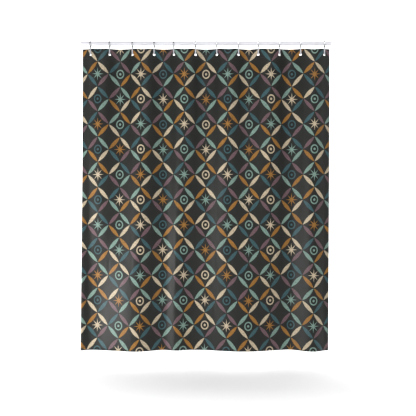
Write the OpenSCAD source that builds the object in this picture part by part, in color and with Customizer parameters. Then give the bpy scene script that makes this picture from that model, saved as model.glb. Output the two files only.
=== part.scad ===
// Shower curtain on a tension rod, hung from twelve flat metal hooks.
// X runs along the rod to the right, -Y is the front and +Z is up.
// The origin is the centre of the rod's left end face, where it meets the wall.

/* [Rod] */
// Length from wall to wall
rod_length = 1568; // [1550:1:1590]
// Outside diameter of the tube
rod_diameter = 25.4; // [25:0.1:26.4]
// Wall thickness of the tube
tube_wall = 1.2; // [0.9:0.1:1.6]
// Thickness of the rubber pad on each end
pad_thickness = 2.5; // [1.5:0.5:3]
// Diameter of the tension screw
screw_diameter = 11.9; // [9.9:1:13.9]

/* [Hooks] */
// Number of hooks and buttonholes
hook_count = 12; // [12:1:12]
// Width of the hooks' metal strip, along the rod
strip_width = 8; // [6:0.1:8.2]
// Thickness of the hooks' metal strip
strip_thickness = 3.6; // [2.6:0.1:3.8]
// Inside radius of the loop that goes round the rod
loop_inner_radius = 14.5; // [14:0.1:15]
// Distance between the two straight legs, centre to centre
leg_spacing = 18; // [17.5:0.5:18.5]
// Depth of the strip's lowest point below the rod's axis, to its middle
hook_drop = 69; // [66:1:72]

/* [Curtain] */
// Height of the cloth, hemmed
curtain_height = 1880; // [1800:1:1980]
// Depth of the cloth's top edge below the rod's axis
curtain_drop = 32; // [28:0.5:33]
// Thickness of one layer of cloth
cloth_thickness = 0.6; // [0.4:0.1:0.6]
// Half the depth of the folds, front to back
fold_depth = 34; // [26:1:36]
// Height of the doubled band at the top
top_hem_height = 62; // [55:1:80]
// Height of the doubled band at the bottom
bottom_hem_height = 26; // [15:1:40]
// Width of the doubled band down each side
side_hem_width = 16; // [10:1:25]

/* [Hidden] */
$fn = 96;
running_gap = 0.05;
body_gap = 0.3;

// Rod: the pieces follow each other from the left wall to the right wall.
rod_radius = rod_diameter / 2;
bore_radius = rod_radius - tube_wall;
cap_thickness = 3.5;
right_cap_thickness = 8;
plug_depth = 28;
tube_start = pad_thickness + cap_thickness;
tube_end = rod_length - pad_thickness - right_cap_thickness - body_gap;
screw_radius = screw_diameter / 2;
screw_length = 92;
screw_socket = 5;
screw_end = tube_end + body_gap + screw_socket - body_gap;
insert_depth = 40;

// Hooks: even spacing, with the small uneven shifts of a curtain drawn by hand.
first_hook_x = 66;
hook_pitch = 132.2;
hook_shift = [0, -13, -4, -1, -11, -8, -8, -5, -15, -15, -16, 0];
hook_turn = [-6, -5, -4, -3, -5, -3, -4, -2, -4, -3, -2, -3];
hook_x = [for (i = [0 : hook_count - 1]) first_hook_x + hook_pitch * i + hook_shift[i]];
half_strip = strip_thickness / 2;
loop_radius = loop_inner_radius + half_strip;
loop_z = -(loop_inner_radius - rod_radius - body_gap);
leg_offset = leg_spacing / 2;
neck_radius = 4.5;
shoulder_radius = loop_radius - leg_offset - neck_radius;
shoulder_x = loop_radius - shoulder_radius;
shoulder_z = -11;
neck_z = shoulder_z - shoulder_radius - neck_radius;
bend_z = -hook_drop + leg_offset;
upper_stub = 4;
curl_radius = 4;
curl_angle = 60;
tip_gap = 4;
upper_tip_z = neck_z - upper_stub;
lower_tip_z = upper_tip_z - 2 * (curl_radius + half_strip) * sin(curl_angle) - tip_gap;

// Curtain: the cloth crosses the rod's plane at each hook and folds
// forwards and backwards by turns between them.
curtain_left = 11;
curtain_right = 1557;
cloth_top = -curtain_drop;
cloth_bottom = -curtain_drop - curtain_height;
steps_per_fold = 12;
end_steps = 5;
half_cloth = cloth_thickness / 2;
hem_back = half_cloth + cloth_thickness;
fold_ends = concat(
    [curtain_left],
    hook_x,
    [curtain_right]
);

// Buttonholes: slots with rounded corners and bound edges.
slot_half_width = 7.6;
slot_corner = 3;
slot_height = 12;
slot_top = -hook_drop + half_strip + 4.1;
binding_width = 2;
binding_thickness = 1.8;

// ---- shared shapes ----

// A solid disc or rod along X, from x = start to x = end.
module along_x(start, end, radius) {
    translate([start, 0, 0])
        rotate([0, 90, 0])
            cylinder(r = radius, h = end - start);
}

// The rest of a module is drawn flat, with Y across and Z up.
module side_on() {
    rotate([90, 0, 90])
        children();
}

// A strip bent round a centre, from one angle through a sweep.
module strip_bend(centre, radius, start, sweep) {
    translate([centre[0], centre[1], 0])
        rotate([0, 0, start])
            rotate_extrude(angle = sweep)
                translate([radius - half_strip, -strip_width / 2])
                    square([strip_thickness, strip_width]);
}

// A straight strip going up from a point.
module strip_up(base, height) {
    translate([base[0] - half_strip, base[1], -strip_width / 2])
        cube([strip_thickness, height, strip_width]);
}

// An upright slot outline with rounded corners, its top at the origin.
module slot_outline(half_width, height, corner) {
    for (x = [corner - half_width, half_width - corner])
        for (y = [-corner, corner - height])
            translate([x, y])
                circle(r = corner, $fn = 48);
    translate([-half_width, corner - height])
        square([half_width * 2, height - corner * 2]);
    translate([corner - half_width, -height])
        square([(half_width - corner) * 2, height]);
}

module bound_slot_outline() {
    slot_outline(
        slot_half_width + binding_width,
        slot_height + binding_width * 2,
        slot_corner + binding_width
    );
}

// ---- folds of the cloth, seen from above ----

// Which fold a point along the rod lies in, counted from the left edge.
function fold_at(x) =
    max([for (i = [0 : hook_count]) x >= fold_ends[i] ? i : 0]);

// The first and last folds are cut short by the cloth's side edges.
function fold_start(i) = i == 0 ? hook_x[0] - hook_pitch : hook_x[i - 1];
function fold_width(i) =
    (i == 0 || i == hook_count) ? hook_pitch : hook_x[i] - hook_x[i - 1];
function fold_side(i) = i % 2 == 0 ? 1 : -1;
function fold_phase(x, i) = 180 * (x - fold_start(i)) / fold_width(i);
function fold_height(i) = fold_side(i) * fold_depth * fold_width(i) / hook_pitch;

function cloth_y(x) =
    let (i = fold_at(x))
    fold_height(i) * sin(fold_phase(x, i));

function cloth_slope(x) =
    let (i = fold_at(x))
    fold_height(i) * PI / fold_width(i) * cos(fold_phase(x, i));

// A point on the cloth, moved out from its middle along the normal.
function cloth_point(x, out) =
    let (slope = cloth_slope(x), scale = out / sqrt(1 + slope * slope))
    [x - slope * scale, cloth_y(x) + scale];

function span_steps(i) = (i == 0 || i == hook_count) ? end_steps : steps_per_fold;

// Stations along the whole width, closer together than the folds need.
cloth_stations = concat(
    [for (i = [0 : hook_count])
        for (j = [0 : span_steps(i) - 1])
            fold_ends[i] + (fold_ends[i + 1] - fold_ends[i]) * j / span_steps(i)],
    [curtain_right]
);

function stations_between(start, end) = concat(
    [start],
    [for (x = cloth_stations) if (x > start + 1 && x < end - 1) x],
    [end]
);

// The cloth's outline from above, between two offsets from its middle.
module cloth_outline(inner, outer, start, end) {
    xs = stations_between(start, end);
    last = len(xs) - 1;
    polygon(concat(
        [for (x = xs) cloth_point(x, inner)],
        [for (i = [0 : last]) cloth_point(xs[last - i], outer)]
    ));
}

module cloth_layer(inner, outer, start, end, low, high) {
    translate([0, 0, low])
        linear_extrude(height = high - low)
            cloth_outline(inner, outer, start, end);
}

// One shape at each buttonhole, turned to lie in the cloth.
module at_buttonholes(depth, middle, top) {
    for (i = [0 : hook_count - 1])
        translate([hook_x[i], 0, top])
            rotate([0, 0, atan(cloth_slope(hook_x[i]))])
                translate([0, middle + depth / 2, 0])
                    rotate([90, 0, 0])
                        linear_extrude(height = depth)
                            children();
}

module buttonhole_cuts() {
    at_buttonholes(8, 0, slot_top + binding_width)
        bound_slot_outline();
}

// ---- rod ----

module rod_tube() {
    color("white")
        difference() {
            along_x(tube_start, tube_end, rod_radius);
            along_x(tube_start - 1, tube_end + 1, bore_radius);
        }
}

// A cap with a plug that is pressed into the tube.
module left_end_cap() {
    color("gainsboro")
        union() {
            along_x(pad_thickness, tube_start, rod_radius);
            difference() {
                along_x(tube_start, tube_start + plug_depth, bore_radius);
                along_x(tube_start + 4, tube_start + plug_depth + 1, bore_radius - 2.5);
            }
        }
}

module left_end_pad() {
    color("lightgray")
        along_x(0, pad_thickness, rod_radius);
}

// A plug in the tube's right end, bored for the tension screw.
module screw_insert() {
    color("gray")
        difference() {
            along_x(tube_end - insert_depth, tube_end, bore_radius);
            along_x(
                tube_end - insert_depth - 1,
                tube_end + 1,
                screw_radius + running_gap
            );
        }
}

module tension_screw() {
    color("silver")
        along_x(screw_end - screw_length, screw_end, screw_radius);
}

// The right cap stands clear of the tube and is carried by the screw.
module right_end_cap() {
    color("gainsboro")
        difference() {
            along_x(
                tube_end + body_gap,
                rod_length - pad_thickness,
                rod_radius
            );
            along_x(
                tube_end,
                tube_end + body_gap + screw_socket,
                screw_radius + running_gap
            );
        }
}

module right_end_pad() {
    color("lightgray")
        along_x(rod_length - pad_thickness, rod_length, rod_radius);
}

// ---- hooks ----

// One side of the strip, from the loop's widest point in to the neck.
module strip_shoulder() {
    strip_up([loop_radius, shoulder_z], loop_z - shoulder_z);
    strip_bend([shoulder_x, shoulder_z], shoulder_radius, -90, 90);
    strip_bend([shoulder_x, neck_z], neck_radius, 90, 90);
}

// One strip: over the rod, down the front, round under the buttonhole and
// up the back, where it is left open so that the cloth can be slipped on.
// Both open ends curl away from the cloth.
module strip_hook() {
    curl_x = leg_offset + curl_radius;
    side_on() {
        strip_bend([0, loop_z], loop_radius, 0, 180);
        strip_shoulder();
        mirror([1, 0, 0])
            strip_shoulder();
        strip_up([-leg_offset, bend_z], neck_z - bend_z);
        strip_bend([0, bend_z], leg_offset, 180, 180);
        strip_up([leg_offset, bend_z], lower_tip_z - bend_z);
        mirror([0, 1, 0])
            strip_bend([curl_x, -lower_tip_z], curl_radius, 180, curl_angle);
        strip_up([leg_offset, upper_tip_z], upper_stub);
        strip_bend([curl_x, upper_tip_z], curl_radius, 180, curl_angle);
    }
}

module hook(number) {
    color("lightsteelblue")
        translate([hook_x[number - 1], 0, 0])
            rotate([0, 0, hook_turn[number - 1]])
                strip_hook();
}

// ---- curtain ----

module curtain_panel() {
    color("darkslategray")
        difference() {
            cloth_layer(
                -half_cloth, half_cloth,
                curtain_left, curtain_right,
                cloth_bottom, cloth_top
            );
            buttonhole_cuts();
        }
}

// The hems are second layers on the back of the panel.
module top_hem() {
    color("slategray")
        difference() {
            cloth_layer(
                half_cloth, hem_back,
                curtain_left, curtain_right,
                cloth_top - top_hem_height, cloth_top
            );
            buttonhole_cuts();
        }
}

module bottom_hem() {
    color("slategray")
        cloth_layer(
            half_cloth, hem_back,
            curtain_left, curtain_right,
            cloth_bottom, cloth_bottom + bottom_hem_height
        );
}

module side_hem(start, end) {
    color("slategray")
        cloth_layer(
            half_cloth, hem_back,
            start, end,
            cloth_bottom + bottom_hem_height, cloth_top - top_hem_height
        );
}

module left_hem() {
    side_hem(curtain_left, curtain_left + side_hem_width);
}

module right_hem() {
    side_hem(curtain_right - side_hem_width, curtain_right);
}

// The thread that binds each slot's edge, front and back.
module buttonhole_binding() {
    color("black")
        at_buttonholes(binding_thickness, half_cloth, slot_top + binding_width)
            difference() {
                bound_slot_outline();
                translate([0, -binding_width])
                    slot_outline(slot_half_width, slot_height, slot_corner);
            }
}

rod_tube();
left_end_cap();
left_end_pad();
screw_insert();
tension_screw();
right_end_cap();
right_end_pad();
hook(1);  // hook_01
hook(2);  // hook_02
hook(3);  // hook_03
hook(4);  // hook_04
hook(5);  // hook_05
hook(6);  // hook_06
hook(7);  // hook_07
hook(8);  // hook_08
hook(9);  // hook_09
hook(10);  // hook_10
hook(11);  // hook_11
hook(12);  // hook_12
curtain_panel();
top_hem();
bottom_hem();
left_hem();
right_hem();
buttonhole_binding();
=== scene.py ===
"""Looks of a printed shower curtain on its tension rod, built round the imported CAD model.

Metres. X runs along the rod to the right, -Y is the front and Z is up.
The cloth is one surface, from which the panel, hems, stitches and bindings all take their places.
"""

import math

import bpy
import numpy as np
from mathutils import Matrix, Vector


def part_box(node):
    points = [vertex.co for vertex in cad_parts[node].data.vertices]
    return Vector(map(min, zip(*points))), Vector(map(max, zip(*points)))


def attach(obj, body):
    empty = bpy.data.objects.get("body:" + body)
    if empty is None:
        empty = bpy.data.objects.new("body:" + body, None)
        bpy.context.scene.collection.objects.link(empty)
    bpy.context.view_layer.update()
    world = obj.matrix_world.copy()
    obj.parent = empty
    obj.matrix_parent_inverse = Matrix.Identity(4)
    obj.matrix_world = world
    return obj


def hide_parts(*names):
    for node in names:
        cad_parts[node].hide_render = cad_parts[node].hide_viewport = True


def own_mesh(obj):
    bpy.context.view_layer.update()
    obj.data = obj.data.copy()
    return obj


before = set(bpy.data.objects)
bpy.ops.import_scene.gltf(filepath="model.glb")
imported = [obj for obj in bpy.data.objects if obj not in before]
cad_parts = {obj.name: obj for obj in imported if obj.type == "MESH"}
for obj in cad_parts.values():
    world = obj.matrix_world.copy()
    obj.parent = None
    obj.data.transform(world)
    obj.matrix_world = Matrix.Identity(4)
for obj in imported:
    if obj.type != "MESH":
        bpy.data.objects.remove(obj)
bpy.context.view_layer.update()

# ---- driving sizes ----

FLAT_WIDTH = 1.803
PANEL_LOW, PANEL_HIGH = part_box("curtain_panel")
CLOTH_LEFT = PANEL_LOW.x
HUNG_WIDTH = PANEL_HIGH.x - PANEL_LOW.x
CLOTH_TOP = PANEL_HIGH.z
CLOTH_HEIGHT = PANEL_HIGH.z - PANEL_LOW.z
CLOTH_THICKNESS = 0.0006

HOOKS = [f"hook_{number:02d}" for number in range(1, 13)]
HOOK_X = [(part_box(hook)[0].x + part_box(hook)[1].x) / 2 for hook in HOOKS]
HOOK_PITCH = (HOOK_X[-1] - HOOK_X[0]) / (len(HOOKS) - 1)

TOP_HEM = CLOTH_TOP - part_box("top_hem")[0].z
BOTTOM_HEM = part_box("bottom_hem")[1].z - PANEL_LOW.z
SIDE_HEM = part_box("left_hem")[1].x - CLOTH_LEFT

BINDING_LOW, BINDING_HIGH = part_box("buttonhole_binding")
BINDING_WIDTH = 0.002
SLOT_HALF_WIDTH = 0.0076
SLOT_CORNER = 0.003
SLOT_TOP = BINDING_HIGH.z - BINDING_WIDTH
SLOT_BOTTOM = BINDING_LOW.z + BINDING_WIDTH

# Folds: depth as a share of their width at the hooks, and in metres lower down.
FOLD_SHARE = 0.2572
FORWARD_SAG = 0.008
BACK_RISE = 0.003
LEAN = 0.010

# The broad folds near the floor: how far along the width, and how far back (+) or forward (-).
LOW_FOLDS = [
    (0.000, 0.012), (0.035, 0.034), (0.225, -0.040), (0.335, 0.026),
    (0.385, 0.006), (0.450, 0.032), (0.665, -0.038), (0.840, 0.036),
    (0.935, -0.036), (1.000, 0.014),
]

# Hooks: how far under the rod's middle the plating is darkened with painted shade, at the upper and
# lower bends.
PAINTED_SHADE_HEIGHTS = (0.021, 0.072)

# Cloth simulation: how many frames it runs, how far it may move a point, and how far under the
# top hem the hold on the cloth fades out.
DRAPE_FRAMES = 30
DRAPE_LIMIT = 0.012
DRAPE_FADE = 0.06

# Print: its stars and rings stand on a square grid, each in a diamond of four leaves, and the
# diamonds between them are empty. The folded hems show it mirrored, and shifted by four steps of
# the grid to stay on the sheet.
MOTIF_PITCH = CLOTH_HEIGHT / 12
HEM_SHIFT = MOTIF_PITCH * 4

# Sizes inside the print, as shares of its pitch.
LEAF_MIDDLE = math.sqrt(0.125)
LEAF_HALF_LENGTH = 0.34
LEAF_HALF_WIDTH = 0.075
STAR_RADIUS = 0.27
RAY_HALF_WIDTH = 0.035
RING_INSIDE = 0.13
RING_OUTSIDE = 0.18
DOT_RADIUS = 0.05
SHADE_RADIUS = 0.4

# Threads: of the cloth's weave, and of the tension screw.
WEAVE_PITCH = 0.0011
SCREW_PITCH = 0.00175

# Mesh of the cloth: steps as shares of its width or height, finer round the slots.
STEP_ACROSS = 0.0075
STEP_DOWN = 0.0085
STEP_AT_SLOT = 0.0009

# Stage: height of the floor, and how far behind the rod the wall stands.
FLOOR = -2.02
WALL = 8.5


# ---- the cloth's surface ----

def smooth(share):
    """0 to 1 with a soft start and end."""
    share = np.clip(share, 0, 1)
    return share * share * (3 - 2 * share)


def top_folds(x):
    """Depth of the cloth just under the rod: it crosses the rod's plane at every hook."""
    starts = np.array([HOOK_X[0] - HOOK_PITCH] + HOOK_X)
    ends = np.array(HOOK_X + [HOOK_X[-1] + HOOK_PITCH])
    index = np.clip(np.searchsorted(HOOK_X, x), 0, len(HOOK_X))
    width = ends[index] - starts[index]
    side = np.where(index % 2 == 0, 1, -1)
    return side * FOLD_SHARE * width * np.sin(math.pi * (x - starts[index]) / width)


def low_folds(u):
    """Depth of the cloth near the floor, rounded between the listed crests."""
    places = np.array([place for place, _ in LOW_FOLDS])
    depths = np.array([depth for _, depth in LOW_FOLDS])
    index = np.clip(np.searchsorted(places, u, side="right") - 1, 0, len(places) - 2)
    share = (u - places[index]) / (places[index + 1] - places[index])
    return depths[index] + (depths[index + 1] - depths[index]) * smooth(share)


def hung_shape(u, t):
    """Points of the cloth at shares u across and t down, as it is hung."""
    x = CLOTH_LEFT + u * HUNG_WIDTH
    down = smooth((t - 0.05) / 0.80)
    y = top_folds(x) * (1 - down) + low_folds(u) * down
    depth = top_folds(x) / (FOLD_SHARE * HOOK_PITCH)
    shift = BACK_RISE * np.maximum(depth, 0) ** 2 - FORWARD_SAG * np.minimum(depth, 0) ** 2
    z = CLOTH_TOP - t * CLOTH_HEIGHT + shift * (1 - smooth(t / 0.3))
    return np.stack([x - LEAN * t * t, y, z], axis=-1)


class Surface:
    """A smooth surface through a regular grid of points, read at shares across and down."""

    def __init__(self, points):
        self.points = points

    def at(self, u, t):
        rows, columns = self.points.shape[:2]
        row, row_weights = self._weights(np.asarray(t, float), rows)
        column, column_weights = self._weights(np.asarray(u, float), columns)
        total = 0
        for i in range(4):
            for j in range(4):
                weight = row_weights[i] * column_weights[j]
                total = total + weight[..., None] * self.points[row[i], column[j]]
        return total

    @staticmethod
    def _weights(share, count):
        """The four grid lines round a share, and how much each counts (a Catmull-Rom curve)."""
        place = np.clip(share, 0, 1) * (count - 1)
        first = np.clip(np.floor(place).astype(int), 0, count - 2)
        f = place - first
        lines = [np.clip(first + k, 0, count - 1) for k in (-1, 0, 1, 2)]
        weights = [
            0.5 * (-f + 2 * f ** 2 - f ** 3),
            0.5 * (2 - 5 * f ** 2 + 3 * f ** 3),
            0.5 * (f + 4 * f ** 2 - 3 * f ** 3),
            0.5 * (-f ** 2 + f ** 3),
        ]
        return lines, weights

    def frame_at(self, u, t):
        """Point, direction across, direction down, and the direction out of the back."""
        step = 0.002
        across = self.at(np.clip(u + step, 0, 1), t) - self.at(np.clip(u - step, 0, 1), t)
        down = self.at(u, np.clip(t + step, 0, 1)) - self.at(u, np.clip(t - step, 0, 1))
        across = across / np.linalg.norm(across, axis=-1, keepdims=True)
        down = down / np.linalg.norm(down, axis=-1, keepdims=True)
        back = np.cross(across, down)
        back = back / np.linalg.norm(back, axis=-1, keepdims=True)
        return self.at(u, t), across, down, back


def drape():
    """The hung shape, relaxed under its own weight by a cloth simulation."""
    columns, rows = 109, 118
    u, t = np.meshgrid(np.linspace(0, 1, columns), np.linspace(0, 1, rows))
    start = hung_shape(u, t)
    index = np.arange(rows * columns).reshape(rows, columns)
    quads = np.stack(
        [index[:-1, :-1], index[1:, :-1], index[1:, 1:], index[:-1, 1:]], axis=-1,
    ).reshape(-1, 4)
    cloth = add_piece("drape", start.reshape(-1, 3), quads)
    group = cloth.vertex_groups.new(name="held")
    held = 1 - smooth((t[:, 0] * CLOTH_HEIGHT - TOP_HEM) / DRAPE_FADE)
    for row in range(rows):
        if held[row] > 0.001:
            group.add(index[row].tolist(), float(held[row]), "REPLACE")
    modifier = cloth.modifiers.new("drape", "CLOTH")
    settings = modifier.settings
    settings.vertex_group_mass = "held"
    settings.quality = 6
    settings.mass = 0.02
    settings.tension_stiffness = 60
    settings.compression_stiffness = 60
    settings.shear_stiffness = 20
    settings.bending_stiffness = 2
    settings.air_damping = 2
    modifier.collision_settings.use_collision = False
    scene = bpy.context.scene
    modifier.point_cache.frame_start = 1
    modifier.point_cache.frame_end = DRAPE_FRAMES
    for frame_number in range(1, DRAPE_FRAMES + 1):
        scene.frame_set(frame_number)
    evaluated = cloth.evaluated_get(bpy.context.evaluated_depsgraph_get())
    relaxed = np.zeros(rows * columns * 3, np.float32)
    evaluated.data.vertices.foreach_get("co", relaxed)
    moved = relaxed.reshape(rows, columns, 3).astype(float) - start
    scene.frame_set(1)
    bpy.data.objects.remove(cloth)
    length = np.linalg.norm(moved, axis=-1, keepdims=True)
    return Surface(start + moved * np.minimum(1, DRAPE_LIMIT / np.maximum(length, 1e-9)))


# ---- meshes ----

def add_piece(name, vertices, faces, uvs=None, materials=(), face_material=None):
    """A mesh object from arrays, with smooth faces."""
    mesh = bpy.data.meshes.new(name)
    mesh.from_pydata(np.asarray(vertices, float).tolist(), [], np.asarray(faces).tolist())
    for material in materials:
        mesh.materials.append(material)
    if face_material is not None:
        mesh.polygons.foreach_set("material_index", np.asarray(face_material, np.int32))
    mesh.polygons.foreach_set("use_smooth", np.ones(len(mesh.polygons), bool))
    if uvs is not None:
        layer = mesh.uv_layers.new(name="cloth")
        corners = np.zeros(len(mesh.loops), np.int32)
        mesh.loops.foreach_get("vertex_index", corners)
        layer.data.foreach_set("uv", np.asarray(uvs, np.float32)[corners].ravel())
    mesh.update()
    piece = bpy.data.objects.new(name, mesh)
    bpy.context.scene.collection.objects.link(piece)
    return piece


def lines(start, end, spacing, extra=()):
    """Grid lines from start to end about a spacing apart, with finer ones where asked."""
    count = max(2, round((end - start) / spacing) + 1)
    values = list(np.linspace(start, end, count))
    for low, high, step in extra:
        low, high = max(low, start), min(high, end)
        if high <= low:
            continue
        values = [v for v in values if v < low - step * 0.4 or v > high + step * 0.4]
        values += list(np.linspace(low, high, max(2, round((high - low) / step) + 1)))
    return np.array(sorted(set([start, end] + values)))


def hook_slope(number):
    """Turn of the cloth about Z at a hook, and the hook's share across the cloth."""
    turn = math.atan(math.pi * FOLD_SHARE) * (-1 if number % 2 == 0 else 1)
    return turn, (HOOK_X[number] - CLOTH_LEFT) / HUNG_WIDTH


def cut_slots(u, t):
    """Moves grid points onto the slots' edges, and says which points lie inside a slot."""
    inside = np.zeros(u.shape, bool)
    cut_radius = SLOT_CORNER + BINDING_WIDTH / 2
    straight_x = SLOT_HALF_WIDTH - SLOT_CORNER
    straight_z = (SLOT_TOP - SLOT_BOTTOM) / 2 - SLOT_CORNER
    middle = (SLOT_TOP + SLOT_BOTTOM) / 2
    reach = 0.0008
    for number in range(len(HOOK_X)):
        turn, hook_u = hook_slope(number)
        across = (u - hook_u) * HUNG_WIDTH / math.cos(turn)
        up = CLOTH_TOP - t * CLOTH_HEIGHT - middle
        beyond_x = np.sign(across) * np.maximum(np.abs(across) - straight_x, 0)
        beyond_z = np.sign(up) * np.maximum(np.abs(up) - straight_z, 0)
        distance = np.hypot(beyond_x, beyond_z)
        edge = np.abs(distance - cut_radius) <= reach
        scale = np.where(edge, cut_radius / np.maximum(distance, 1e-9), 1)
        moved_x = across - beyond_x + beyond_x * scale
        moved_z = up - beyond_z + beyond_z * scale
        u = np.where(edge, hook_u + moved_x * math.cos(turn) / HUNG_WIDTH, u)
        t = np.where(edge, (CLOTH_TOP - middle - moved_z) / CLOTH_HEIGHT, t)
        inside |= distance < cut_radius - reach
    return u, t, inside


def cloth_piece(name, surface, us, ts, front, back, materials, print_at, slots=False):
    """One layer of cloth as a thin closed mesh, from front to back of the surface's middle."""
    u, t = np.meshgrid(us, ts)
    inside = np.zeros(u.shape, bool)
    if slots:
        u, t, inside = cut_slots(u, t)
    middle, _, _, out = surface.frame_at(u, t)
    rows, columns = u.shape
    count = rows * columns
    vertices = np.concatenate([
        (middle + out * front).reshape(-1, 3),
        (middle + out * back).reshape(-1, 3),
    ])
    index = np.arange(count).reshape(rows, columns)
    present = ~(inside[:-1, :-1] | inside[1:, :-1] | inside[:-1, 1:] | inside[1:, 1:])
    a, b = index[:-1, :-1][present], index[:-1, 1:][present]
    c, d = index[1:, 1:][present], index[1:, :-1][present]
    front_faces = np.stack([a, d, c, b], axis=1)
    back_faces = np.stack([a, b, c, d], axis=1) + count
    rim = rim_faces(front_faces, count)
    faces = np.concatenate([front_faces, back_faces, rim])
    sides = np.concatenate([
        np.zeros(len(front_faces)), np.ones(len(back_faces)), np.zeros(len(rim)),
    ]).astype(int)
    printed_u, printed_t = print_at(u.ravel(), t.ravel())
    uv = np.stack([printed_u, 1 - printed_t], axis=1)
    used = np.unique(faces)
    renumber = np.full(count * 2, -1)
    renumber[used] = np.arange(len(used))
    return add_piece(
        name, vertices[used], renumber[faces], np.concatenate([uv, uv])[used],
        materials, sides,
    )


def rim_faces(front_faces, count):
    """Faces that close the gap between the front and the back along every open edge."""
    edges = {}
    for face in front_faces.tolist():
        for start, end in zip(face, face[1:] + face[:1]):
            if (end, start) in edges:
                del edges[(end, start)]
            else:
                edges[(start, end)] = True
    return np.array([[end, start, start + count, end + count] for start, end in edges])


def slot_path(count):
    """Points evenly spaced round the middle of a slot's binding, and the directions out."""
    angle = np.linspace(0, 2 * math.pi, 721)[:-1] + math.pi / 1440
    out = np.stack([np.cos(angle), np.sin(angle)], axis=1)
    straight = np.array([
        SLOT_HALF_WIDTH - SLOT_CORNER, (SLOT_TOP - SLOT_BOTTOM) / 2 - SLOT_CORNER,
    ])
    points = out * (SLOT_CORNER + BINDING_WIDTH / 2) + np.sign(out) * straight
    closed = np.concatenate([points, points[:1]])
    outward = np.concatenate([out, out[:1]])
    steps = np.linalg.norm(np.diff(closed, axis=0), axis=1)
    along = np.concatenate([[0], np.cumsum(steps)])
    wanted = np.linspace(0, along[-1], count, endpoint=False)
    path = [np.interp(wanted, along, closed[:, k]) for k in (0, 1)]
    direction = [np.interp(wanted, along, outward[:, k]) for k in (0, 1)]
    return path[0], path[1] + (SLOT_TOP + SLOT_BOTTOM) / 2, direction[0], direction[1]


def bindings(name, material):
    """Twelve bound buttonhole edges: a rounded band with a ridge for every turn of thread."""
    around, section, half_height = 144, 10, 0.0009
    path_x, path_z, out_x, out_z = slot_path(around)
    ridge = np.where(np.arange(around) % 3 == 0, 0.80, 1.0)
    turn = np.linspace(0, 2 * math.pi, section, endpoint=False)
    side = (BINDING_WIDTH / 2) * ridge[:, None] * np.cos(turn)[None, :]
    out = CLOTH_THICKNESS / 2 + half_height * ridge[:, None] * np.sin(turn)[None, :]
    along = path_x[:, None] + side * out_x[:, None]
    up = path_z[:, None] + side * out_z[:, None]
    here = np.arange(around)[:, None] * section
    there = (np.arange(around)[:, None] + 1) % around * section
    ring = np.arange(section)[None, :]
    following = (ring + 1) % section
    one = np.stack([here + ring, here + following, there + following, there + ring], axis=-1)
    vertices, faces = [], []
    for number, hook_x in enumerate(HOOK_X):
        lean, _ = hook_slope(number)
        x = hook_x + along * math.cos(lean) - out * math.sin(lean)
        y = along * math.sin(lean) + out * math.cos(lean)
        vertices.append(np.stack([x, y, up], axis=-1).reshape(-1, 3))
        faces.append(one.reshape(-1, 4) + number * around * section)
    return add_piece(name, np.concatenate(vertices), np.concatenate(faces), materials=[material])


def stitches(name, surface, material):
    """Running stitches that hold the hems, on the front and on the back."""
    pitch, length, radius, corners = 0.006, 0.0042, 0.00032, 5
    inset = 0.0025
    top_t = (TOP_HEM - inset) / CLOTH_HEIGHT
    low_t = 1 - (BOTTOM_HEM - inset) / CLOTH_HEIGHT
    left_u = (SIDE_HEM - inset) / HUNG_WIDTH
    ends = [
        ((0.004, top_t), (0.996, top_t), FLAT_WIDTH),
        ((0.004, low_t), (0.996, low_t), FLAT_WIDTH),
        ((left_u, top_t), (left_u, low_t), CLOTH_HEIGHT),
        ((1 - left_u, top_t), (1 - left_u, low_t), CLOTH_HEIGHT),
    ]
    vertices, faces, first = [], [], 0
    for start, end, distance in ends:
        share = np.arange(0.5, distance / pitch) * pitch / distance
        u = start[0] + (end[0] - start[0]) * share
        t = start[1] + (end[1] - start[1]) * share
        point, across, down, back = surface.frame_at(u, t)
        along = across if start[1] == end[1] else down
        beside = np.cross(along, back)
        for side, height in ((-1, CLOTH_THICKNESS * 0.55), (1, CLOTH_THICKNESS * 1.75)):
            base = point + back * side * height
            for place, size in ((-0.5, 0.35), (-0.25, 1.0), (0.25, 1.0), (0.5, 0.35)):
                ring = base + along * length * place
                for k in range(corners):
                    swing = 2 * math.pi * k / corners
                    offset = math.cos(swing) * beside + math.sin(swing) * back * 0.8
                    vertices.append(ring + offset * radius * size)
            count = len(point)
            for ring in range(3):
                for k in range(corners):
                    a = first + (ring * corners + k) * count + np.arange(count)
                    b = first + (ring * corners + (k + 1) % corners) * count + np.arange(count)
                    next_ring = corners * count
                    faces.append(np.stack([a, b, b + next_ring, a + next_ring], axis=1))
            first += 4 * corners * count
    return add_piece(name, np.concatenate(vertices), np.concatenate(faces), materials=[material])


# ---- shader arithmetic ----

class Field:
    """A number that varies over a surface: a shader node's output, with plain arithmetic."""

    def __init__(self, tree, socket):
        self.tree = tree
        self.socket = socket

    def math(self, operation, *others):
        node = self.tree.nodes.new("ShaderNodeMath")
        node.operation = operation
        for place, value in enumerate((self,) + others):
            if isinstance(value, Field):
                self.tree.links.new(value.socket, node.inputs[place])
            else:
                node.inputs[place].default_value = value
        return Field(self.tree, node.outputs[0])

    def __add__(self, other):
        return self.math("ADD", other)

    def __sub__(self, other):
        return self.math("SUBTRACT", other)

    def __mul__(self, other):
        return self.math("MULTIPLY", other)

    def __truediv__(self, other):
        return self.math("DIVIDE", other)

    def __pow__(self, other):
        return self.math("POWER", other)

    def __lt__(self, other):
        return self.math("LESS_THAN", other)

    def __gt__(self, other):
        return self.math("GREATER_THAN", other)

    def __or__(self, other):
        return self.math("MAXIMUM", other)

    def __and__(self, other):
        return self.math("MULTIPLY", other)

    def __invert__(self):
        return self * -1.0 + 1.0

    def __abs__(self):
        return self.math("ABSOLUTE")

    def is_number(self, number):
        return self.math("COMPARE", float(number), 0.1)

    def between(self, low, high):
        return (self > low) & (self < high)


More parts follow.
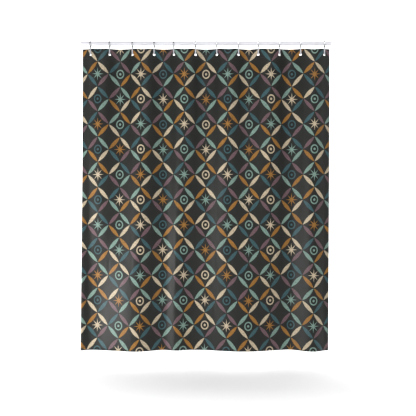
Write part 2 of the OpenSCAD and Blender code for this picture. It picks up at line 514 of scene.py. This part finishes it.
def linear(red, green, blue):
    """A colour given as 0 to 255 in sRGB, in linear light."""
    def one(value):
        value /= 255
        return value / 12.92 if value <= 0.04045 else ((value + 0.055) / 1.055) ** 2.4
    return (one(red), one(green), one(blue), 1.0)


def mixed(share, low, high):
    """The colour low where share is 0 and high where it is 1."""
    tree = share.tree
    node = tree.nodes.new("ShaderNodeMix")
    node.data_type = "RGBA"
    tree.links.new(share.socket, node.inputs[0])
    for place, colour in ((6, low), (7, high)):
        if isinstance(colour, tuple):
            node.inputs[place].default_value = colour
        else:
            tree.links.new(colour, node.inputs[place])
    return node.outputs[2]


def noise(tree, scale, detail=2.0):
    """Cloudy variation, from 0 to 1, with so many clouds in a metre."""
    node = tree.nodes.new("ShaderNodeTexNoise")
    node.inputs["Scale"].default_value = scale
    node.inputs["Detail"].default_value = detail
    coordinates = tree.nodes.new("ShaderNodeTexCoord").outputs["Object"]
    tree.links.new(coordinates, node.inputs["Vector"])
    return Field(tree, node.outputs["Fac"])


def new_material(name, **settings):
    """A material with a Principled shader, and its uniform values set on that shader."""
    material = bpy.data.materials.new(name)
    material.use_nodes = True
    shader = material.node_tree.nodes["Principled BSDF"]
    for socket, value in settings.items():
        shader.inputs[socket.replace("_", " ")].default_value = value
    return material, material.node_tree, shader


def add_bump(tree, shader, height, distance, strength=1.0):
    """Raises the surface a little where height is high, and returns the bump node."""
    bump = tree.nodes.new("ShaderNodeBump")
    bump.inputs["Strength"].default_value = strength
    bump.inputs["Distance"].default_value = distance
    tree.links.new(height.socket, bump.inputs["Height"])
    tree.links.new(bump.outputs["Normal"], shader.inputs["Normal"])
    return bump


# ---- the print ----

CHARCOAL = linear(32, 33, 30)
BLACK = linear(10, 11, 8)
SLATE = linear(64, 71, 71)
CREAM = linear(202, 185, 157)
SAGE = linear(127, 155, 144)
AMBER = linear(158, 110, 46)
MAUVE = linear(112, 86, 92)
TEAL = linear(57, 91, 97)


def flat_coordinates(tree):
    """Metres across from the cloth's middle, and down from its top edge, as it was cut."""
    uv = tree.nodes.new("ShaderNodeUVMap")
    uv.uv_map = "cloth"
    split = tree.nodes.new("ShaderNodeSeparateXYZ")
    tree.links.new(uv.outputs["UV"], split.inputs["Vector"])
    across = (Field(tree, split.outputs["X"]) - 0.5) * FLAT_WIDTH
    down = (~Field(tree, split.outputs["Y"])) * CLOTH_HEIGHT
    return across, down


def one_of(index, colours):
    """The colour whose place in the list is the index."""
    chosen = colours[0]
    for place, colour in enumerate(colours[1:], start=1):
        chosen = mixed(index.is_number(place), chosen, colour)
    return chosen


def print_colour(tree):
    """A plain trellis of leaves, with an eight-ray star or a ring in every other diamond.

    Also gives the place on the sheet, across and down, in steps of the print's grid.
    """
    across, down = flat_coordinates(tree)
    across, down = across / MOTIF_PITCH, down / MOTIF_PITCH
    column, row = across.math("ROUND"), down.math("ROUND")
    x, y = across - column, down - row
    u, v = abs(x), abs(y)
    a = (u + v) * math.sqrt(0.5)
    b = (u - v) * math.sqrt(0.5)
    radius = (u * u + v * v).math("SQRT")
    ringed = (column + row).math("FLOORED_MODULO", 2.0)

    side = (x > 0.0) + (y > 0.0) * 2.0
    leaf_index = (column * 2.0 + row + side).math("FLOORED_MODULO", 5.0)
    leaf_colour = one_of(leaf_index, [SAGE, AMBER, CREAM, TEAL, MAUVE])
    leaf = abs(a - LEAF_MIDDLE) < (~((b / LEAF_HALF_LENGTH) ** 2.0)) * LEAF_HALF_WIDTH

    turn = v.math("ARCTAN2", u) / math.radians(45)
    off_ray = abs((turn - turn.math("ROUND")) * math.radians(45)) * radius
    star = (off_ray < ~(radius / STAR_RADIUS) * RAY_HALF_WIDTH) & ~ringed
    star_colour = one_of((column - row).math("FLOORED_MODULO", 3.0), [SAGE, AMBER, CREAM])
    ring = (radius.between(RING_INSIDE, RING_OUTSIDE) | (radius < DOT_RADIUS)) & ringed
    ring_colour = one_of(column.math("FLOORED_MODULO", 3.0), [CREAM, TEAL, SAGE])

    colour = mixed((~(radius / SHADE_RADIUS)).math("MAXIMUM", 0.0), CHARCOAL, BLACK)
    colour = mixed(leaf, colour, leaf_colour)
    colour = mixed(star, colour, star_colour)
    colour = mixed(ring, colour, ring_colour)
    return colour, across, down


def weave_height(across, down):
    """Threads over and under each other, both ways, at a place in steps of the print's grid."""
    turns = 2 * math.pi / WEAVE_PITCH
    one = (across * MOTIF_PITCH * turns).math("SINE")
    other = (down * MOTIF_PITCH * turns).math("SINE")
    return (one * other) * 0.5 + 0.5


def printed_fabric():
    """Smooth printed polyester: the print, a fine weave, small flecks and a satin gloss."""
    material, tree, shader = new_material(
        "printed_fabric", Sheen_Weight=0.03, Sheen_Roughness=0.4, Specular_IOR_Level=0.22,
    )
    colour, across, down = print_colour(tree)
    fleck = noise(tree, 420, 2) * 0.9 + 0.05
    colour = mixed(fleck.math("POWER", 3.0) * 0.35, colour, CHARCOAL)
    grain = noise(tree, 190, 1).math("POWER", 4.0) * 2.2
    colour = mixed(grain.math("MINIMUM", 0.45), colour, CHARCOAL)
    cloud = noise(tree, 9, 3) * 0.08
    colour = mixed(cloud, colour, SLATE)
    tree.links.new(colour, shader.inputs["Base Color"])
    gloss = noise(tree, 60, 3) * 0.08 + 0.36
    tree.links.new(gloss.socket, shader.inputs["Roughness"])
    threads = weave_height(across, down)
    add_bump(tree, shader, threads + noise(tree, 70, 2) * 0.6, 0.00025, 0.6)
    return material


def back_fabric():
    """The unprinted back: pale, with the print only just showing through."""
    material, tree, shader = new_material(
        "fabric_back", Sheen_Weight=0.15, Sheen_Roughness=0.5, Specular_IOR_Level=0.35,
    )
    colour, across, down = print_colour(tree)
    ghost = noise(tree, 300, 2) * 0.06 + 0.15
    colour = mixed(ghost, linear(192, 192, 188), colour)
    tree.links.new(colour, shader.inputs["Base Color"])
    gloss = noise(tree, 60, 3) * 0.08 + 0.62
    tree.links.new(gloss.socket, shader.inputs["Roughness"])
    threads = weave_height(across, down)
    add_bump(tree, shader, threads, 0.00025, 0.6)
    return material


# ---- hard materials ----

def simple_material(name, dark, light, roughness, scale, bump, **settings):
    """A material whose colour, roughness and surface vary a little with noise."""
    material, tree, shader = new_material(name, **settings)
    cloud = noise(tree, scale, 4)
    tree.links.new(mixed(cloud, linear(*dark), linear(*light)), shader.inputs["Base Color"])
    gloss = noise(tree, scale * 3, 3) * (roughness[1] - roughness[0]) + roughness[0]
    tree.links.new(gloss.socket, shader.inputs["Roughness"])
    add_bump(tree, shader, noise(tree, scale * 8, 3), bump)
    return material


def screw_material():
    """Zinc-plated steel with a thread along X, of one ridge for every pitch, with painted shade in
    its grooves and a painted highlight on its crests.
    """
    material, tree, shader = new_material("screw_steel", Metallic=1.0)
    place = tree.nodes.new("ShaderNodeTexCoord").outputs["Object"]
    split = tree.nodes.new("ShaderNodeSeparateXYZ")
    tree.links.new(place, split.inputs["Vector"])
    x = Field(tree, split.outputs["X"])
    turn = Field(tree, split.outputs["Z"]).math("ARCTAN2", Field(tree, split.outputs["Y"]))
    ridge = (x * (2 * math.pi / SCREW_PITCH) + turn).math("SINE") * 0.5 + 0.5
    # Painted shade and highlight: the colour follows the thread, darker in its grooves and lighter on
    # its crests.
    tree.links.new(
        mixed(ridge, linear(92, 92, 90), linear(186, 186, 182)), shader.inputs["Base Color"],
    )
    gloss = noise(tree, 220, 3) * 0.2 + 0.25
    tree.links.new(gloss.socket, shader.inputs["Roughness"])
    add_bump(tree, shader, ridge, 0.0006)
    return material


def thread_material():
    """Dark thread, with a painted highlight along its crests and painted shade between them."""
    material, tree, shader = new_material(
        "binding_thread", Sheen_Weight=0.2, Specular_IOR_Level=0.3,
    )
    twist = noise(tree, 1600, 2)
    # Painted highlight and shade: the colour follows the bump, lighter where the thread is raised.
    tree.links.new(mixed(twist, linear(30, 33, 35), linear(70, 76, 78)), shader.inputs["Base Color"])
    gloss = noise(tree, 500, 2) * 0.15 + 0.6
    tree.links.new(gloss.socket, shader.inputs["Roughness"])
    add_bump(tree, shader, twist, 0.0002)
    return material


def chrome_material():
    """Bright plating with softened edges, darkened by painted shade where the strip bends."""
    material, tree, shader = new_material("hook_chrome", Metallic=1.0)
    place = tree.nodes.new("ShaderNodeTexCoord").outputs["Object"]
    split = tree.nodes.new("ShaderNodeSeparateXYZ")
    tree.links.new(place, split.inputs["Vector"])
    height = Field(tree, split.outputs["Z"])
    # Painted shade and painted dark reflection: the plating is darkened in soft bands at the upper
    # and lower bends.
    upper_bend_shade = ~(abs(height + PAINTED_SHADE_HEIGHTS[0]) / 0.008)
    lower_bend_shade = ~(abs(height + PAINTED_SHADE_HEIGHTS[1]) / 0.012)
    painted_shade = upper_bend_shade.math("MAXIMUM", 0.0).math("SQRT") * 0.8
    painted_shade = painted_shade | (lower_bend_shade.math("MAXIMUM", 0.0).math("SQRT") * 0.45)
    plating = mixed(noise(tree, 120, 4), linear(192, 193, 198), linear(220, 221, 225))
    tree.links.new(mixed(painted_shade, plating, linear(64, 66, 70)), shader.inputs["Base Color"])
    gloss = noise(tree, 360, 3) * 0.08 + 0.08
    tree.links.new(gloss.socket, shader.inputs["Roughness"])
    bump = add_bump(tree, shader, noise(tree, 960, 3), 0.00002)
    edges = tree.nodes.new("ShaderNodeBevel")
    edges.samples = 4
    edges.inputs["Radius"].default_value = 0.0006
    tree.links.new(edges.outputs["Normal"], bump.inputs["Normal"])
    return material


def give(node, material):
    """Puts a material on every slot of a CAD node."""
    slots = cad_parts[node].material_slots
    if not slots:
        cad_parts[node].data.materials.append(material)
    for slot in slots:
        slot.material = material


# ---- camera, light and stage ----

def set_camera():
    """Straight on, five metres away, with the rod near the top of the picture."""
    data = bpy.data.cameras.new("camera")
    data.lens = 69.52
    data.sensor_width = 36
    camera = bpy.data.objects.new("camera", data)
    camera.location = (0.796, -5.0, -1.024)
    camera.rotation_euler = (math.radians(90), 0, 0)
    bpy.context.scene.collection.objects.link(camera)
    bpy.context.scene.camera = camera


def area_light(name, location, target, width, height, power):
    """A soft box that faces a point."""
    data = bpy.data.lights.new(name, "AREA")
    data.shape = "RECTANGLE"
    data.size = width
    data.size_y = height
    data.energy = power
    light = bpy.data.objects.new(name, data)
    light.location = location
    facing = Vector(target) - Vector(location)
    light.rotation_euler = facing.to_track_quat("-Z", "Y").to_euler()
    bpy.context.scene.collection.objects.link(light)


def set_stage():
    """A pale floor that sweeps up into a wall, far enough back to look at the curtain from behind."""
    reach, bend, steps, wall_top = 12.0, 1.2, 12, 6.0
    profile = [(-reach, FLOOR), (-reach / 2, FLOOR), (0.0, FLOOR), (WALL - bend, FLOOR)]
    for step in range(1, steps + 1):
        angle = math.pi / 2 * step / steps
        profile.append((WALL - bend + bend * math.sin(angle), FLOOR + bend * (1 - math.cos(angle))))
    profile.append((WALL, wall_top))
    vertices, faces = [], []
    for y, z in profile:
        vertices += [(-reach, y, z), (reach, y, z)]
    for i in range(len(profile) - 1):
        faces.append([2 * i, 2 * i + 1, 2 * i + 3, 2 * i + 2])
    material, tree, shader = new_material(
        "stage", Roughness=0.9, Specular_IOR_Level=0.1, Emission_Strength=0.36,
        Emission_Color=(1, 1, 1, 1),
    )
    tone = mixed(noise(tree, 0.6, 1), linear(246, 246, 247), linear(250, 250, 250))
    tree.links.new(tone, shader.inputs["Base Color"])
    stage = add_piece("stage", vertices, faces, materials=[material])


def set_world():
    """Even studio light, with a dark ceiling."""
    world = bpy.data.worlds.new("studio")
    bpy.context.scene.world = world
    world.use_nodes = True
    tree = world.node_tree
    shade = tree.nodes["Background"]
    split = tree.nodes.new("ShaderNodeSeparateXYZ")
    place = tree.nodes.new("ShaderNodeTexCoord").outputs["Generated"]
    tree.links.new(place, split.inputs["Vector"])
    ramp = tree.nodes.new("ShaderNodeValToRGB")
    ramp.color_ramp.elements[0].position = 0.63
    ramp.color_ramp.elements[0].color = (1, 1, 1, 1)
    ramp.color_ramp.elements[1].position = 0.80
    ramp.color_ramp.elements[1].color = (0.06, 0.06, 0.07, 1)
    height = Field(tree, split.outputs["Z"]) * 0.5 + 0.5
    tree.links.new(height.socket, ramp.inputs["Fac"])
    tree.links.new(ramp.outputs["Color"], shade.inputs["Color"])
    shade.inputs["Strength"].default_value = 0.86


set_camera()
set_stage()
set_world()
middle_x = CLOTH_LEFT + HUNG_WIDTH / 2
area_light("softbox_left", (middle_x - 3.4, -2.6, -1.7), (middle_x - 0.7, 0, -2.0), 1.0, 0.5, 34)
area_light("side_light", (middle_x - 1.9, -1.0, -1.72), (middle_x - 0.6, 0, -1.75), 0.6, 0.5, 18)
area_light("key_light", (middle_x + 0.6, -3.0, 1.3), (middle_x, 0, -0.3), 2.4, 0.8, 46)
area_light("wall_light", (middle_x, 4.6, 4.0), (middle_x, WALL, 0.0), 8.0, 1.0, 700)
area_light("back_light", (middle_x, 1.2, 3.0), (middle_x, 2.8, -2.0), 5.0, 0.8, 140)
bpy.context.scene.view_settings.view_transform = "Standard"

# ---- the curtain ----

surface = drape()
fabric = printed_fabric()
fabric_back = back_fabric()
thread = thread_material()

beside_slot, above_slot = 0.0085, 0.004
near_hooks = [
    (hook_slope(number)[1] - beside_slot, hook_slope(number)[1] + beside_slot, STEP_AT_SLOT)
    for number in range(len(HOOK_X))
]
near_slots = [(
    (CLOTH_TOP - SLOT_TOP - above_slot) / CLOTH_HEIGHT,
    (CLOTH_TOP - SLOT_BOTTOM + above_slot) / CLOTH_HEIGHT,
    STEP_AT_SLOT,
)]
all_across = lines(0, 1, STEP_ACROSS, near_hooks)
hem_t = TOP_HEM / CLOTH_HEIGHT
low_hem_t = 1 - BOTTOM_HEM / CLOTH_HEIGHT
side_u = SIDE_HEM / HUNG_WIDTH
half = CLOTH_THICKNESS / 2

panel = cloth_piece(
    "curtain_cloth", surface, all_across, lines(0, 1, STEP_DOWN, near_slots),
    -half, half, [fabric, fabric_back], lambda u, t: (u, t), slots=True,
)
shift_t = HEM_SHIFT / CLOTH_HEIGHT
shift_u = HEM_SHIFT / FLAT_WIDTH
hem_gap = 0.0001
hem_front = half + hem_gap
hem_back = half + hem_gap + CLOTH_THICKNESS
hem_top = cloth_piece(
    "hem_top", surface, all_across, lines(0, hem_t, STEP_DOWN, near_slots),
    hem_front, hem_back, [fabric_back, fabric], lambda u, t: (u, shift_t - t), slots=True,
)
hem_bottom = cloth_piece(
    "hem_bottom", surface, lines(0, 1, STEP_ACROSS), lines(low_hem_t, 1, 0.005),
    hem_front, hem_back, [fabric_back, fabric], lambda u, t: (u, 2 - t - shift_t),
)
side_rows = lines(hem_t, low_hem_t, STEP_DOWN)
hem_left = cloth_piece(
    "hem_left", surface, lines(0, side_u, 0.003), side_rows,
    hem_front, hem_back, [fabric_back, fabric], lambda u, t: (shift_u - u, t),
)
hem_right = cloth_piece(
    "hem_right", surface, lines(1 - side_u, 1, 0.003), side_rows,
    hem_front, hem_back, [fabric_back, fabric], lambda u, t: (2 - u - shift_u, t),
)
binding = bindings("slot_binding", thread)
stitching = stitches("hem_stitching", surface, thread)

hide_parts("curtain_panel")
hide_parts("top_hem")
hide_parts("bottom_hem")
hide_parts("left_hem")
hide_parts("right_hem")
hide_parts("buttonhole_binding")

soft_slots = {
    panel: "curtain_fabric",
    hem_top: "curtain_fabric",
    hem_bottom: "curtain_fabric",
    hem_left: "curtain_fabric",
    hem_right: "curtain_fabric",
    binding: "binding_thread",
    stitching: "binding_thread",
}
for piece, slot_name in soft_slots.items():
    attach(piece, "curtain")
    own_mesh(piece)

# ---- the rod and the hooks ----

rod_paint = simple_material(
    "rod_paint", (212, 211, 218), (228, 227, 233), (0.30, 0.38), 40, 0.00006,
    Coat_Weight=0.3, Coat_Roughness=0.15,
)
cap_plastic = simple_material(
    "cap_plastic", (226, 226, 225), (238, 238, 237), (0.40, 0.50), 60, 0.00008,
)
pad_rubber = simple_material(
    "pad_rubber", (206, 206, 204), (222, 222, 220), (0.70, 0.82), 90, 0.00015,
)
insert_plastic = simple_material(
    "insert_plastic", (120, 120, 118), (140, 140, 138), (0.5, 0.6), 80, 0.0001,
)
chrome = chrome_material()
give("rod_tube", rod_paint)
give("left_end_cap", cap_plastic)
give("right_end_cap", cap_plastic)
give("left_end_pad", pad_rubber)
give("right_end_pad", pad_rubber)
give("screw_insert", insert_plastic)
give("tension_screw", screw_material())
for hook in HOOKS:
    give(hook, chrome)
